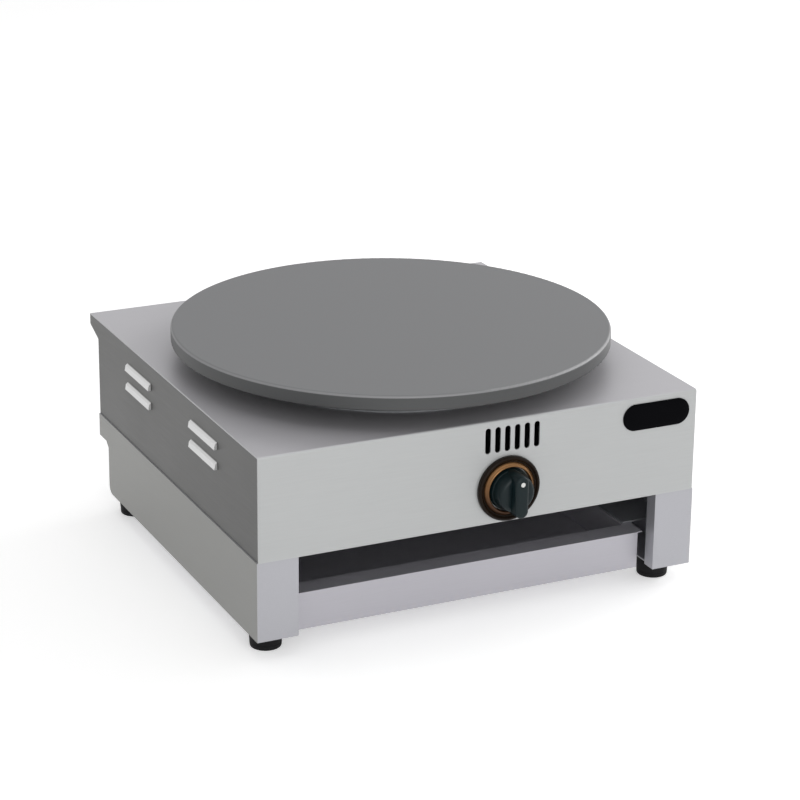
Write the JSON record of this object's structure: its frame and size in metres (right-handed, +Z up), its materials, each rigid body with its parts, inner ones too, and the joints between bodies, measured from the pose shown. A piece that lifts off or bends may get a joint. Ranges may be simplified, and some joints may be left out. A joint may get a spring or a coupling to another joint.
{
  "type": "electric crepe maker",
  "caption": "Countertop crepe maker: a round griddle plate raised over a square sheet steel casing on an open stand, with a front knob, side louvres and a pull-out tray.",
  "frame": {"origin": "on the table, under the middle of the whole object", "axes": "+X to the right seen from the front, +Y to the back, +Z up"},
  "size_m": [0.4258, 0.4488, 0.2184],
  "materials": {
    "sheet_steel": "brushed stainless sheet",
    "plain_steel": "dull zinc-coated sheet",
    "fasteners": "bright zinc",
    "plate_iron": "turned smooth",
    "heater_sheath": "dark heat-stained",
    "mineral_wool": "pressed fibre board",
    "foot_rubber": "matt",
    "knob_plastic": "satin",
    "bezel_plastic": "gloss with a gold ring",
    "badge_plastic": "bare gloss",
    "switch_plastic": "moulded",
    "reset_red": "moulded",
    "block_white": "moulded",
    "gland_plastic": "moulded",
    "copper": "drawn tube",
    "earth_brass": "turned",
    "wire_brown": "heat-proof sleeve",
    "wire_blue": "heat-proof sleeve",
    "wire_green": "heat-proof sleeve"
  },
  "bodies": {
    "stand": {"top_cover": "sheet_steel", "left_side_panel": "sheet_steel", "right_side_panel": "sheet_steel", "rear_panel": "sheet_steel", "base_left_side": "sheet_steel", "base_right_side": "sheet_steel", "base_rear_panel": "sheet_steel", "casing_floor": "plain_steel", "left_tray_runner": "plain_steel", "right_tray_runner": "plain_steel", "heat_shield_pan": "plain_steel", "front_support_rail": "plain_steel", "rear_support_rail": "plain_steel", "clamp_disc": "plain_steel", "plate_studs": "fasteners", "stud_spacers": "fasteners", "stud_nuts": "fasteners", "rear_screws": "fasteners", "base_screws": "fasteners", "foot_screws": "fasteners", "foot_nuts": "fasteners", "thermostat_screws": "fasteners", "limiter_nut": "fasteners", "block_screws": "fasteners", "earth_nuts": "fasteners", "crepe_plate": "plate_iron", "heating_element": "heater_sheath", "insulation_disc": "mineral_wool", "foot_front_left": "foot_rubber", "foot_front_right": "foot_rubber", "foot_rear_left": "foot_rubber", "foot_rear_right": "foot_rubber", "dial_bezel": "bezel_plastic", "front_badge": "badge_plastic", "thermostat_body": "switch_plastic", "limit_thermostat": "switch_plastic", "terminal_block": "block_white", "cable_gland": "gland_plastic", "gland_nut": "gland_plastic", "thermostat_bulb": "copper", "thermostat_capillary": "copper", "limiter_bulb": "copper", "limiter_capillary": "copper", "earth_stud": "earth_brass", "live_lead": "wire_brown", "element_lead_live": "wire_brown", "neutral_lead": "wire_blue", "element_lead_neutral": "wire_blue", "earth_lead": "wire_green"},
    "knob": {"control_knob": "knob_plastic", "knob_grub_screw": "fasteners", "thermostat_shaft": "fasteners"},
    "tray": {"drip_tray": "sheet_steel"},
    "reset": {"reset_button": "reset_red"}
  },
  "joints": [
    {"name": "knob_turn", "type": "hinge", "parent": "stand", "child": "knob", "pos_m": [0.0234, -0.19585, 0.1218], "axis": [0, 1, 0], "range_deg": [0, 270]},
    {"name": "tray_slide", "type": "slide", "parent": "stand", "child": "tray", "axis": [0, -1, 0], "range_m": [0, 0.28]},
    {"name": "reset_press", "type": "slide", "parent": "stand", "child": "reset", "axis": [0, 0, 1], "range_m": [0, 0.002], "stiffness_N_per_m": 300, "springref_m": -0.001}
  ]
}
